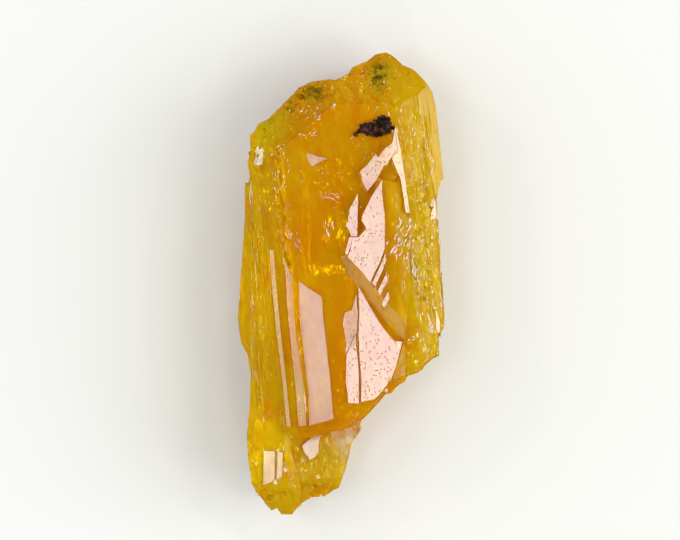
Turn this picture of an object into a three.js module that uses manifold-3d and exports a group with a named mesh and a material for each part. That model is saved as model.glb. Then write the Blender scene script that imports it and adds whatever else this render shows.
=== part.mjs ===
// A legrandite crystal: one clear yellow mass of three intergrown prisms, with a crust of dark iron oxide
// grains seated in its front face. Millimetres, +Z up.
// The crystal lies on its back. +Y runs along it towards the domed end, +X across it, and +Z out of its front.
// The origin is the middle of its footprint, on the surface that it rests on.

import * as THREE from "three";
import { mergeVertices } from "three/addons/utils/BufferGeometryUtils.js";
import Module from "manifold-3d";

const wasm = await Module();
wasm.setup();

// Driving dimensions
const FRONT = 4.9; // height of the broad front face above the resting face
const WAIST = 2.3; // from here to the first ledge above it, each prism is at its widest
const STOCK_LOW = -0.5; // the prisms are cleaved out of upright stacks of layers between these two heights
const STOCK_HIGH = 6.5;
const GRAIN_LEAN = 5.5; // degrees that the main prism's long axis leans from +Y towards -X
const PLATE_TILT = 7; // degrees that the mirror-bright growth plates turn towards -X from the front
const PLATE_DRAFT = 0.25; // how far a plate's side runs out for each millimetre that it goes down
const PLATE_DEPTH = 0.7; // how far a plate reaches down into the crystal
const BLOCK_LOW = 3.9; // height that the raised block starts from, inside the crystal
const SEAT_GAP = 0.03; // clearance between the crust and the hollow that it sits in
const WELD = 1e-5; // corners closer than this are one corner

// Growth ledges along a prism's sides: the height that each layer starts at, and how far it stands in
const FRONT_LEDGES = [[WAIST, 0], [3.35, 0.05], [3.7, 0.02], [4.3, 0.08]];
const BACK_LEDGES = [[STOCK_LOW, 0.5], [0.65, 0.4], [0.85, 0.31], [1.3, 0.24], [1.45, 0.16], [2.0, 0.09]];

const radians = THREE.MathUtils.degToRad;

// Unit vector tilted from +Z by tilt degrees towards a compass direction; past 90 degrees it looks down.
function facing(compass, tilt) {
  const flat = Math.sin(radians(tilt));
  return new THREE.Vector3(
    flat * Math.cos(radians(compass)),
    flat * Math.sin(radians(compass)),
    Math.cos(radians(tilt)),
  );
}

// Compass directions across the prism, in degrees from +X
const ACROSS_RIGHT = GRAIN_LEAN;
const ACROSS_LEFT = 180 + GRAIN_LEAN;

// Outline of the main prism above its waist, clockwise from the top of its knob
const MAIN_OUTLINE = [
  [1.81, 9.27], [2.2, 9.04], [2.46, 8.76], [2.87, 8.6], [3.34, 8.12], [3.64, 7.68], [3.78, 7.08],
  [3.98, 5.32], [4.1, 4.24], [3.98, 4.08], [3.81, 3.4], [3.87, 2.56], [3.98, 0.88], [4.07, -0.12],
  [4.14, -1.28], [4.12, -1.76], [3.92, -2.04], [3.92, -2.86], [3.64, -3.0], [3.36, -3.27],
  [3.28, -3.41], [2.99, -3.59], [2.64, -3.68], [2.55, -3.91], [2.31, -4.03], [2.02, -4.35],
  [1.78, -4.41], [1.43, -4.82], [0.88, -5.4], [0.16, -5.84], [-0.76, -5.96], [-1.6, -6.44],
  [-2.12, -6.64], [-3.2, 0], [-3.66, 4.24], [-3.74, 4.92], [-3.6, 5.2], [-3.64, 5.92],
  [-3.48, 6.08], [-3.32, 6.4], [-2.89, 6.61], [-2.56, 6.96], [-2.2, 7.32], [-1.72, 7.82],
  [-1.26, 8.06], [-0.48, 8.18], [-0.22, 8.16], [0.06, 8.28], [0.32, 8.42], [0.44, 8.65],
  [0.99, 8.9], [1.37, 9.16],
];

// The same prism is plainer below its waist.
const MAIN_BACK_OUTLINE = [
  [1.75, 9.12], [2.75, 8.5], [3.52, 7.6], [3.85, 5.6], [4.02, 4.1], [3.72, 3.2], [3.9, 0.9],
  [4.08, -1.4], [3.82, -2.7], [3.0, -3.4], [2.2, -3.9], [1.2, -4.8], [0.2, -5.7], [-1.6, -6.3],
  [-2.1, -6.5], [-3.1, 0], [-3.6, 4.4], [-3.45, 6.0], [-2.4, 7.1], [-1.5, 7.85], [0.1, 8.2],
  [0.65, 8.7],
];

// Outline of the slim prism down the left side, clockwise from its top
const SIDE_OUTLINE = [
  [-3.84, 4.08], [-3.1, 4.2], [-2.5, 1.4], [-2.2, -3.8], [-2.0, -6.6], [-1.62, -7.9],
  [-1.56, -8.8], [-1.78, -8.98], [-1.96, -9.22], [-2.38, -9.22], [-2.56, -8.96], [-2.78, -9.06],
  [-3.1, -8.7], [-3.38, -8.34], [-3.56, -7.98], [-3.7, -7.08], [-3.76, -6.0], [-3.64, -4.72],
  [-3.6, -3.28], [-3.76, -2.8], [-4.0, -2.32], [-4.12, -1.36], [-3.96, 1.04], [-3.84, 2.64],
];

const SIDE_BACK_OUTLINE = [
  [-3.8, 3.9], [-2.9, 4.1], [-1.6, -3.8], [-1.5, -8.5], [-2.1, -9.1], [-2.9, -8.8], [-3.5, -7.9],
  [-3.7, -6.0], [-3.62, -3.9], [-4.05, -1.5],
];

// Outline of the short prism behind the lower end
const REAR_OUTLINE = [
  [1.1, -4.2], [0.88, -5.4], [0.8, -5.91], [0.44, -6.35], [0.32, -6.84], [0.16, -7.52],
  [-0.08, -8.16], [-0.68, -8.52], [-1.16, -8.56], [-1.56, -8.8], [-2.3, -8.2], [-2.5, -5.0],
  [-1.0, -3.6],
];

// Raised block right of the middle of the front, whose lower left flank is a smooth slanting facet
const BLOCK_OUTLINE = [
  [1.4, 4.2], [2.44, 4.1], [2.62, 2.7], [2.78, 0], [2.55, -2.2], [2.1, -2.3], [0.5, -0.4],
  [0.3, 0.1], [0.05, 1.1], [0.9, 1.5], [1.3, 3.4],
];

// Mirror-bright growth plates on the front: each one's outline, and the height of its top at the first point.
// Their tops look the same way, as faces of one crystal do, unless an entry says where it looks.
const SLIVER = [[-2.84, 1.36], [-2.68, 1.36], [-2.4, -1.84], [-2.0, -5.64], [-2.16, -5.64], [-2.56, -1.84]];
const LATH = [
  [-2.32, 1.12], [-1.96, 0.36], [-1.8, -1.84], [-1.36, -5.6], [-1.68, -5.64], [-2.04, -1.84], [-2.2, 0.48],
];
const BOARD = [[-1.68, 0.12], [-0.76, -0.48], [-0.64, -1.84], [-0.3, -5.36], [-1.26, -5.6], [-1.48, -2.64]];
const FLAKE = [
  [0.76, 4.48], [1.37, 5.18], [1.46, 5.04], [2.06, 5.62], [2.16, 6.12], [2.28, 5.36], [2.0, 4.98], [1.86, 4.7],
  [1.7, 4.66], [1.04, 3.68], [0.84, 4.06],
];
const FEATHER = [[2.16, 6.24], [2.36, 5.36], [2.72, 2.8], [2.56, 2.84], [2.36, 4.16], [2.0, 5.04]];
const SHIELD = [
  [1.62, 4.12], [1.72, 2.72], [1.72, 1.4], [1.14, 0.1], [0.3, 1.12], [0.5, 1.86], [0.66, 1.88],
  [1.0, 2.16], [0.82, 2.5], [0.93, 2.87],
];
const SHIELD_RIM = [[0.16, 1.22], [0.34, 1.88], [0.46, 1.84], [0.26, 1.12]];
const THORN = [[0.67, 3.57], [0.64, 1.9], [0.4, 1.9], [0.2, 2.37], [0.32, 2.72]];
const BLADE_TOP = [
  [0.62, -0.42], [0.44, -1.03], [0.16, -1.16], [0.12, -1.68], [0.18, -2.75], [0.48, -2.1], [0.62, -1.85],
  [0.68, -1.2],
];
const BLADE = [[0.58, -2.0], [0.22, -2.9], [0.2, -3.9], [0.28, -4.68], [0.7, -4.74], [0.66, -2.9]];
const APRON = [
  [0.7, -0.1], [1.28, -1.12], [2.12, -2.24], [2.48, -2.28], [2.32, -2.84], [2.02, -3.72],
  [1.46, -4.44], [1.32, -4.56], [0.8, -4.66], [0.74, -2.8], [0.74, -1.0],
];
const APRON_SIDE = [[2.48, -2.28], [2.56, -2.64], [2.56, -3.52], [2.12, -3.76], [2.02, -3.72], [2.32, -2.84]];
const RIGHT_SLIP = [[3.44, -0.32], [3.6, -0.32], [3.92, -1.44], [3.92, -1.96], [3.76, -1.84], [3.5, -1.04]];
const PLATES = [
  { z: 4.86, outline: SLIVER },
  { z: 4.98, outline: LATH },
  { z: 5.05, outline: BOARD },
  { z: 5.2, outline: FLAKE },
  { z: 5.3, outline: FEATHER },
  { z: 5.62, outline: SHIELD },
  { z: 5.37, outline: SHIELD_RIM },
  { z: 5.28, outline: THORN },
  { z: 5.0, outline: BLADE_TOP },
  { z: 5.06, outline: BLADE },
  { z: 5.1, outline: APRON },
  { z: 5.28, outline: APRON_SIDE, looks: facing(-20, 27) },
  // Steps down the shield's right edge
  { z: 5.64, outline: [[1.76, 1.2], [1.78, 0.9], [1.34, -0.1], [1.26, 0.06]] },
  { z: 5.58, outline: [[1.82, 0.5], [1.84, 0.2], [1.54, -0.45], [1.46, -0.28]] },
  { z: 5.53, outline: [[1.9, -0.2], [1.92, -0.5], [1.7, -0.95], [1.62, -0.8]] },
  // Chip at the upper left, slips at the right edge, and the upper left corner
  { z: 4.92, outline: [[-1.46, 5.3], [-0.84, 5.05], [-0.56, 4.97], [-1.16, 4.66]] },
  { z: 4.5, outline: RIGHT_SLIP },
  { z: 4.5, outline: [[3.72, 3.4], [3.84, 2.56], [3.56, 2.6]] },
  { z: 4.0, outline: [[-3.6, 5.15], [-3.2, 5.35], [-3.15, 4.8], [-3.45, 4.4]] },
  // Window, pane and heel at the lower end
  { z: 4.06, outline: [[-3.08, -6.64], [-2.64, -6.64], [-2.64, -7.8], [-3.08, -8.0]] },
  { z: 4.08, outline: [[-2.52, -6.64], [-2.32, -6.72], [-2.36, -7.68], [-2.56, -7.76]] },
  {
    z: 3.5,
    outline: [
      [-1.56, -6.46], [-1.2, -6.15], [-0.76, -6.0], [-0.89, -6.52], [-0.92, -6.76], [-1.26, -7.04],
      [-1.44, -6.76],
    ],
  },
];

// Patch that the crust covers, and its grains
const CRUST_OUTLINE = [
  [0.5, 5.92], [0.72, 6.26], [1.2, 6.46], [1.7, 6.66], [1.98, 6.5], [2.1, 6.22], [1.96, 5.94],
  [1.5, 5.84], [1.16, 5.86], [0.8, 5.98],
];
const CRUST_MIDDLE = new THREE.Vector2(1.42, 6.2);
const CRUST_SEED = 83;
const CRUST_GRAINS = 17; // round the rim, and as many again within it
const CRUST_RIM_INSET = [0.05, 0.2]; // how much of the way to the middle a rim grain stands in
const CRUST_INNER_INSET = [0.4, 1];
const CRUST_GRAIN = [0.07, 0.14]; // smallest and largest radius of a grain
const CRUST_GRAIN_LIFT = [-0.02, 0.06]; // height of a grain's middle above the front face
const CRUST_BED_LOW = FRONT - 0.12; // the bed's two faces
const CRUST_BED_HIGH = FRONT + 0.06;
const CRUST_BED_SHRINK = 0.88; // the bed's size across, of the patch's

const MAIN_FACES = {
  front: { at: [0, 0, FRONT], looks: facing(ACROSS_RIGHT, 2) },
  frontLeft: { at: [-2.2, 0, FRONT], looks: facing(ACROSS_LEFT, 36) },
  frontRight: { at: [2.5, 1, FRONT], looks: facing(ACROSS_RIGHT, 20) },
  edgeRight: { at: [3.6, 4.28, 4.39], looks: facing(7.5, 33) },
  domeLeft: { at: [-1.64, 6.04, FRONT], looks: facing(129, 42) },
  domeRight: { at: [1.4, 7.0, FRONT], looks: facing(85, 33) },
  heelFront: { at: [-1.0, -5.5, FRONT], looks: facing(-96, 41) },
  breakFront: { at: [1.6, -4.45, FRONT], looks: facing(-49, 43) },
  breakUnder: { at: [2.1, -4.45, 3.9], looks: facing(-49, 116) },
  heelUnder: { at: [-0.8, -6.0, 4.1], looks: facing(-95, 118) },
  back: { at: [0, 0, 0], looks: facing(0, 180) },
  backLeft: { at: [-1.9, 0, 0], looks: facing(ACROSS_LEFT, 138) },
  backRight: { at: [2.3, 0, 0], looks: facing(ACROSS_RIGHT, 142) },
  backTop: { at: [0, 6.6, 0], looks: facing(92, 140) },
};

const SIDE_FACES = {
  frontLeft: { at: [-2.4, -2, 4.75], looks: facing(180, 30) },
  edgeLeft: { at: [-3.75, 0, 3.9], looks: facing(178, 42) },
  toe: { at: [-2.6, -7.9, 4.0], looks: facing(-100, 40) },
  lowerFront: { at: [-2.6, -7.0, 4.0], looks: facing(-90, 6) },
  lowerRight: { at: [-1.9, -7, 3.8], looks: facing(0, 40) },
  back: { at: [0, 0, 0.3], looks: facing(0, 180) },
  backLeft: { at: [-2.7, 0, 0.3], looks: facing(180, 136) },
  backToe: { at: [-2.4, -7.4, 0.3], looks: facing(-92, 132) },
};

const REAR_FACES = {
  front: { at: [-0.5, -6.5, 3.3], looks: facing(-60, 12) },
  toe: { at: [-0.8, -7.9, 3.0], looks: facing(-80, 42) },
  right: { at: [0.5, -5.8, 2.6], looks: facing(0, 42) },
  back: { at: [0, 0, 0], looks: facing(0, 180) },
  backToe: { at: [0, -7.2, 0], looks: facing(-85, 130) },
};

const BLOCK_FACES = {
  top: { at: [1.14, 0.1, 5.42], looks: facing(ACROSS_LEFT, 1) },
  slant: { at: [1.14, 0.1, 5.46], looks: facing(220, 50) },
  right: { at: [2.4, 1, 5.35], looks: facing(ACROSS_RIGHT, 42) },
};

// Fine ridges along the grain. Each row is scattered by its seed over the spots of a face within a box.
const RIDGES = [
  {
    face: SIDE_FACES.frontLeft, seed: 3, count: 16, length: [2, 5], width: [0.08, 0.2],
    box: [[-3.5, -2.9], [-4.5, 1.5], [4.1, 4.6]],
  },
  {
    face: MAIN_FACES.edgeRight, seed: 7, count: 7, length: [1, 2], width: [0.08, 0.16],
    box: [[3.3, 3.55], [5.2, 6.6], [4.1, 4.4]],
  },
  {
    face: MAIN_FACES.frontRight, seed: 11, count: 22, length: [0.8, 2.2], width: [0.1, 0.26],
    box: [[2.7, 3.7], [-1, 4.6], [4.3, 4.8]],
  },
  {
    face: MAIN_FACES.backLeft, seed: 13, count: 10, length: [2, 5], width: [0.15, 0.3],
    box: [[-3, -2.2], [-3, 4], [0.3, 1]],
  },
  {
    face: MAIN_FACES.backRight, seed: 17, count: 10, length: [2, 5], width: [0.15, 0.3],
    box: [[2.5, 3.4], [-1, 4], [0.3, 1]],
  },
];

// Furrows along the grain
const FURROWS = [
  {
    face: SIDE_FACES.frontLeft, seed: 19, count: 12, length: [1.5, 4], width: [0.08, 0.2],
    box: [[-3.6, -2.9], [-6, 2.5], [4, 4.6]],
  },
  {
    face: MAIN_FACES.back, seed: 23, count: 16, length: [2, 7], width: [0.12, 0.4],
    box: [[-1.8, 2.2], [-4, 6], [0, 0]],
  },
];

// Hollows chipped out of the domed end, the broken lower ends, the rough right wing and the back
const CHIPS = [
  {
    face: MAIN_FACES.domeRight, seed: 41, count: 7, size: [0.8, 1.5], lift: [0.55, 0.8],
    box: [[-0.6, 3], [7.3, 8.7], [3.6, 4.6]],
  },
  {
    face: MAIN_FACES.domeLeft, seed: 43, count: 7, size: [0.8, 1.5], lift: [0.55, 0.8],
    box: [[-3.4, -0.8], [5, 8], [3.6, 4.6]],
  },
  {
    face: MAIN_FACES.domeRight, seed: 73, count: 12, size: [0.3, 0.6], lift: [0.4, 0.8],
    box: [[-0.6, 3], [7.3, 8.7], [3.6, 4.6]],
  },
  {
    face: MAIN_FACES.domeLeft, seed: 79, count: 12, size: [0.3, 0.6], lift: [0.4, 0.8],
    box: [[-3.4, -0.8], [5, 8], [3.6, 4.6]],
  },
  {
    face: MAIN_FACES.breakUnder, seed: 29, count: 18, size: [0.5, 1.3], lift: [0.1, 0.5],
    box: [[-0.2, 3.4], [-5, -2.6], [2.4, 4]],
  },
  {
    face: MAIN_FACES.breakFront, seed: 31, count: 10, size: [0.3, 0.6], lift: [0.2, 0.5],
    box: [[0.9, 3.5], [-5, -3.2], [4.4, 4.8]],
  },
  {
    face: MAIN_FACES.heelUnder, seed: 37, count: 8, size: [0.5, 1], lift: [0.2, 0.6],
    box: [[-2, 0.1], [-6.2, -5.8], [3.4, 4.2]],
  },
  {
    face: SIDE_FACES.toe, seed: 53, count: 6, size: [0.4, 0.8], lift: [0.3, 0.7],
    box: [[-3.2, -2], [-9, -8], [3, 3.9]],
  },
  {
    face: REAR_FACES.toe, seed: 61, count: 8, size: [0.4, 0.9], lift: [0.3, 0.7],
    box: [[-1.6, 0], [-8.4, -7.9], [2, 2.9]],
  },
  {
    face: REAR_FACES.right, seed: 67, count: 8, size: [0.4, 0.8], lift: [0.3, 0.7],
    box: [[0.4, 0.8], [-7.2, -5.8], [1.8, 2.6]],
  },
  {
    face: MAIN_FACES.frontRight, seed: 71, count: 22, size: [0.25, 0.55], lift: [0.2, 0.6],
    box: [[2.8, 3.8], [-2.6, 3.4], [4.3, 4.8]],
  },
  {
    face: MAIN_FACES.back, seed: 27, count: 10, size: [0.6, 1.6], lift: [0.5, 0.8],
    box: [[-2, 2.2], [-4, 6], [0, 0]],
  },
  {
    face: MAIN_FACES.backTop, seed: 47, count: 10, size: [0.8, 1.6], lift: [0.4, 0.7],
    box: [[-2, 2.4], [7, 8.6], [0.4, 1.6]],
  },
  {
    face: SIDE_FACES.backToe, seed: 59, count: 6, size: [0.6, 1], lift: [0.3, 0.7],
    box: [[-3.2, -2], [-8.8, -7.6], [0.6, 2]],
  },
];

// Repeatable random numbers from a linear congruential generator: each call gives one between low and high.
function dice(seed) {
  const [factor, step, modulus] = [1664525, 1013904223, 2 ** 32];
  let state = seed;
  return (low, high) => {
    state = (state * factor + step) % modulus;
    return low + ((high - low) * state) / modulus;
  };
}

// A closed geometry as a manifold-3d solid
function solidOf(geometry) {
  const bare = geometry.clone();
  bare.deleteAttribute("normal");
  bare.deleteAttribute("uv");
  const merged = mergeVertices(bare, WELD);
  return new wasm.Manifold(
    new wasm.Mesh({
      numProp: 3,
      vertProperties: merged.attributes.position.array,
      triVerts: new Uint32Array(merged.index.array),
    }),
  );
}

// A manifold-3d solid as a geometry
function geometryOf(solid) {
  const mesh = solid.getMesh();
  return new THREE.BufferGeometry()
    .setAttribute("position", new THREE.BufferAttribute(new Float32Array(mesh.vertProperties), 3))
    .setIndex(new THREE.BufferAttribute(new Uint32Array(mesh.triVerts), 1));
}

// Upright prism over an outline, standing in from it all round by inset. Its sides run out by draft for each
// millimetre that they go down, and are on the outline half way up.
function prism(outline, low, high, { inset = 0, draft = 0 } = {}) {
  const shape = new THREE.Shape(outline.map(([x, y]) => new THREE.Vector2(x, y)));
  const geometry = new THREE.ExtrudeGeometry(shape, { depth: high - low, bevelEnabled: false });
  geometry.translate(0, 0, low);
  const centre = new THREE.Box2().setFromPoints(shape.getPoints()).getCenter(new THREE.Vector2());
  const halfway = (low + high) / 2;
  const places = geometry.attributes.position;
  for (let i = 0; i < places.count; i++) {
    const away = new THREE.Vector2(places.getX(i), places.getY(i)).sub(centre);
    away.setLength(away.length() - inset + draft * (halfway - places.getZ(i)));
    places.setXY(i, centre.x + away.x, centre.y + away.y);
  }
  return solidOf(geometry);
}

// What is left of a solid once everything in front of each face has broken away
function cleave(solid, faces) {
  return faces.reduce((rest, { at, looks }) => {
    const inward = looks.clone().negate();
    return rest.trimByPlane(inward.toArray(), inward.dot(new THREE.Vector3(...at)));
  }, solid);
}

// A random spot of a face: one inside the box, brought square onto the face
function spotOn({ at, looks }, [xs, ys, zs], between) {
  const spot = new THREE.Vector3(between(...xs), between(...ys), between(...zs));
  return spot.addScaledVector(looks, looks.dot(new THREE.Vector3(...at).sub(spot)));
}

// Pointed splinters along the grain of a face, half sunk in it, and a third of their width high
function splinters({ face, seed, count, length, width, box }) {
  const between = dice(seed);
  const grain = facing(90 + GRAIN_LEAN, 90);
  const along = grain.addScaledVector(face.looks, -grain.dot(face.looks)).normalize();
  const across = new THREE.Vector3().crossVectors(along, face.looks);
  return Array.from({ length: count }, () => {
    const wide = between(...width);
    const splinter = new THREE.OctahedronGeometry(1);
    splinter.scale(wide / 2, between(...length) / 2, wide / 3);
    const place = new THREE.Matrix4().makeBasis(across, along, face.looks);
    splinter.applyMatrix4(place.setPosition(spotOn(face, box, between)));
    return solidOf(splinter);
  });
}

// Angular lumps turned every way. Lift is how many half sizes each one's middle stands in front of its face.
function lumps({ face, seed, count, size, lift, box }) {
  const between = dice(seed);
  return Array.from({ length: count }, () => {
    const half = between(...size) / 2;
    const middle = spotOn(face, box, between).addScaledVector(face.looks, half * between(...lift));
    const lump = new THREE.OctahedronGeometry(half);
    lump.scale(1, between(0.7, 1), between(0.6, 0.9));
    lump.rotateX(between(0, Math.PI));
    lump.rotateY(between(0, Math.PI));
    lump.rotateZ(between(0, Math.PI));
    lump.translate(...middle);
    return solidOf(lump);
  });
}

function growthPlate({ z, outline, looks = facing(ACROSS_LEFT, PLATE_TILT) }) {
  const [x, y] = outline[0];
  const top = { at: [x, y, z], looks };
  return cleave(prism(outline, z - PLATE_DEPTH, z + PLATE_DEPTH, { draft: PLATE_DRAFT }), [top]);
}

// One layer of a prism for each of its ledges
function layers(outline, ledges, top) {
  return ledges.map(([low, inset], i) => {
    const high = i + 1 < ledges.length ? ledges[i + 1][0] : top;
    return prism(outline, low, high, { inset });
  });
}

// A prism with ledges along its sides, cleaved to its faces
function ledgedPrism(frontOutline, backOutline, faces) {
  const behind = layers(backOutline, BACK_LEDGES, WAIST);
  const before = layers(frontOutline, FRONT_LEDGES, STOCK_HIGH);
  return cleave(wasm.Manifold.union([...behind, ...before]), Object.values(faces));
}

// Dark grains on a thin bed; grow makes them all that much fatter, for the hollow that they sit in.
function crustSolid(grow) {
  const between = dice(CRUST_SEED);
  const patch = new THREE.Shape(CRUST_OUTLINE.map(([x, y]) => new THREE.Vector2(x, y)));
  const grainNear = (spot, inset) => {
    const middle = spot.clone().lerp(CRUST_MIDDLE, between(...inset));
    const grain = new THREE.IcosahedronGeometry(between(...CRUST_GRAIN) + grow);
    grain.rotateX(between(0, Math.PI));
    grain.rotateZ(between(0, Math.PI));
    grain.translate(middle.x, middle.y, FRONT + between(...CRUST_GRAIN_LIFT));
    return solidOf(grain);
  };
  const rim = patch.getSpacedPoints(CRUST_GRAINS).slice(0, CRUST_GRAINS);
  const rimGrains = rim.map((spot) => grainNear(spot, CRUST_RIM_INSET));
  const innerGrains = rim.map((spot) => grainNear(spot, CRUST_INNER_INSET));
  const shrink = CRUST_BED_SHRINK + 2 * grow;
  const bedOutline = CRUST_OUTLINE.map(([x, y]) => [
    CRUST_MIDDLE.x + (x - CRUST_MIDDLE.x) * shrink,
    CRUST_MIDDLE.y + (y - CRUST_MIDDLE.y) * shrink,
  ]);
  const bed = prism(bedOutline, CRUST_BED_LOW - grow, CRUST_BED_HIGH + grow);
  return wasm.Manifold.union([bed, ...rimGrains, ...innerGrains]);
}

function crystalSolid() {
  const grown = wasm.Manifold.union([
    ledgedPrism(MAIN_OUTLINE, MAIN_BACK_OUTLINE, MAIN_FACES),
    ledgedPrism(SIDE_OUTLINE, SIDE_BACK_OUTLINE, SIDE_FACES),
    ledgedPrism(REAR_OUTLINE, REAR_OUTLINE, REAR_FACES),
    ...RIDGES.flatMap(splinters),
  ]);
  const worn = grown.subtract(wasm.Manifold.union([...FURROWS.flatMap(splinters), ...CHIPS.flatMap(lumps)]));
  const block = cleave(prism(BLOCK_OUTLINE, BLOCK_LOW, STOCK_HIGH), Object.values(BLOCK_FACES));
  const plated = wasm.Manifold.union([worn, block, ...PLATES.map(growthPlate)]);
  return cleave(plated, [MAIN_FACES.back]).subtract(crustSolid(SEAT_GAP));
}

const legrandite = new THREE.MeshStandardMaterial({ color: 0xd99a12, roughness: 0.12, metalness: 0 });
const ironOxide = new THREE.MeshStandardMaterial({ color: 0x2a0f0a, roughness: 0.45, metalness: 0.2 });

function piece(name, solid, material) {
  const mesh = new THREE.Mesh(geometryOf(solid), material);
  mesh.name = name;
  return mesh;
}

const specimen = new THREE.Group();
specimen.add(piece("crystal", crystalSolid(), legrandite));
specimen.add(piece("iron_oxide_crust", crustSolid(0), ironOxide));

// The outlines are drawn from a spot near the crystal's middle; here the origin moves to the middle itself.
const middle = new THREE.Box3().setFromObject(specimen).getCenter(new THREE.Vector3());
specimen.position.set(-middle.x, -middle.y, 0);

export default specimen;
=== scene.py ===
"""A clear golden yellow legrandite crystal that lies on its back on a pale floor, under soft studio light.

Distances in the classes below are in millimetres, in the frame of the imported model: +Y along the crystal towards
its domed end, +X across it and +Z out of its front.
"""

from __future__ import annotations

import logging
import math
import random
from dataclasses import dataclass, field
from enum import Enum
from typing import Callable, Sequence

import bmesh
import bpy
from mathutils import Matrix, Vector, noise
from mathutils.bvhtree import BVHTree


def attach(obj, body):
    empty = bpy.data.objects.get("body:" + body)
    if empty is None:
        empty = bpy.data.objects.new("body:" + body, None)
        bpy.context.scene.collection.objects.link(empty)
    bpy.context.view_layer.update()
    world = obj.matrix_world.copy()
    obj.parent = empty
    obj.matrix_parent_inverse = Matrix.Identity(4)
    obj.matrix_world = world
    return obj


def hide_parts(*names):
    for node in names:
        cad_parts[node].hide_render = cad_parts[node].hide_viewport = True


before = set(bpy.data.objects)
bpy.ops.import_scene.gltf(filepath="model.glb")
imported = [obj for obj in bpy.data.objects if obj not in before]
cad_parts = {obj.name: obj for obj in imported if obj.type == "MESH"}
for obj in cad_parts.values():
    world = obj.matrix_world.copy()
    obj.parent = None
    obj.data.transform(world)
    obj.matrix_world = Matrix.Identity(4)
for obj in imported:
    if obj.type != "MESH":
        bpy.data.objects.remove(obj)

log = logging.getLogger("legrandite")

MM = 0.001
GRAIN_LEAN = math.radians(5.5)
GRAIN = Vector((-math.sin(GRAIN_LEAN), math.cos(GRAIN_LEAN), 0.0))
ACROSS = Vector((math.cos(GRAIN_LEAN), math.sin(GRAIN_LEAN), 0.0))
UP = Vector((0.0, 0.0, 1.0))
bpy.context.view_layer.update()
# Least cosines between a face and a way that it looks, or straight up, and a height in millimetres over all of it
SAME_WAY = 0.997
LEVEL = 0.985
ABOVE = 20.0


def facing(compass: float, tilt: float) -> Vector:
    """Gives a direction that leans from straight up.

    Args:
        compass: Which way it leans, in degrees from +X.
        tilt: How far it leans, in degrees.

    Returns:
        The direction, as a unit vector.
    """
    flat = math.sin(math.radians(tilt))
    turn = math.radians(compass)
    return Vector((flat * math.cos(turn), flat * math.sin(turn), math.cos(math.radians(tilt))))


PLATE_LOOKS = facing(185.5, 7.0)
EDGE_LOOKS = facing(7.5, 33.0)
HEEL_LOOKS = facing(-96.0, 41.0)
SLANT_LOOKS = facing(220.0, 50.0)
APRON_SIDE_LOOKS = facing(-20.0, 27.0)
REFRACTION = 1.7


class Slot(Enum):
    """The record's material slots."""

    CRYSTAL = "crystal"
    CRUST = "iron_oxide_crust"


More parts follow.
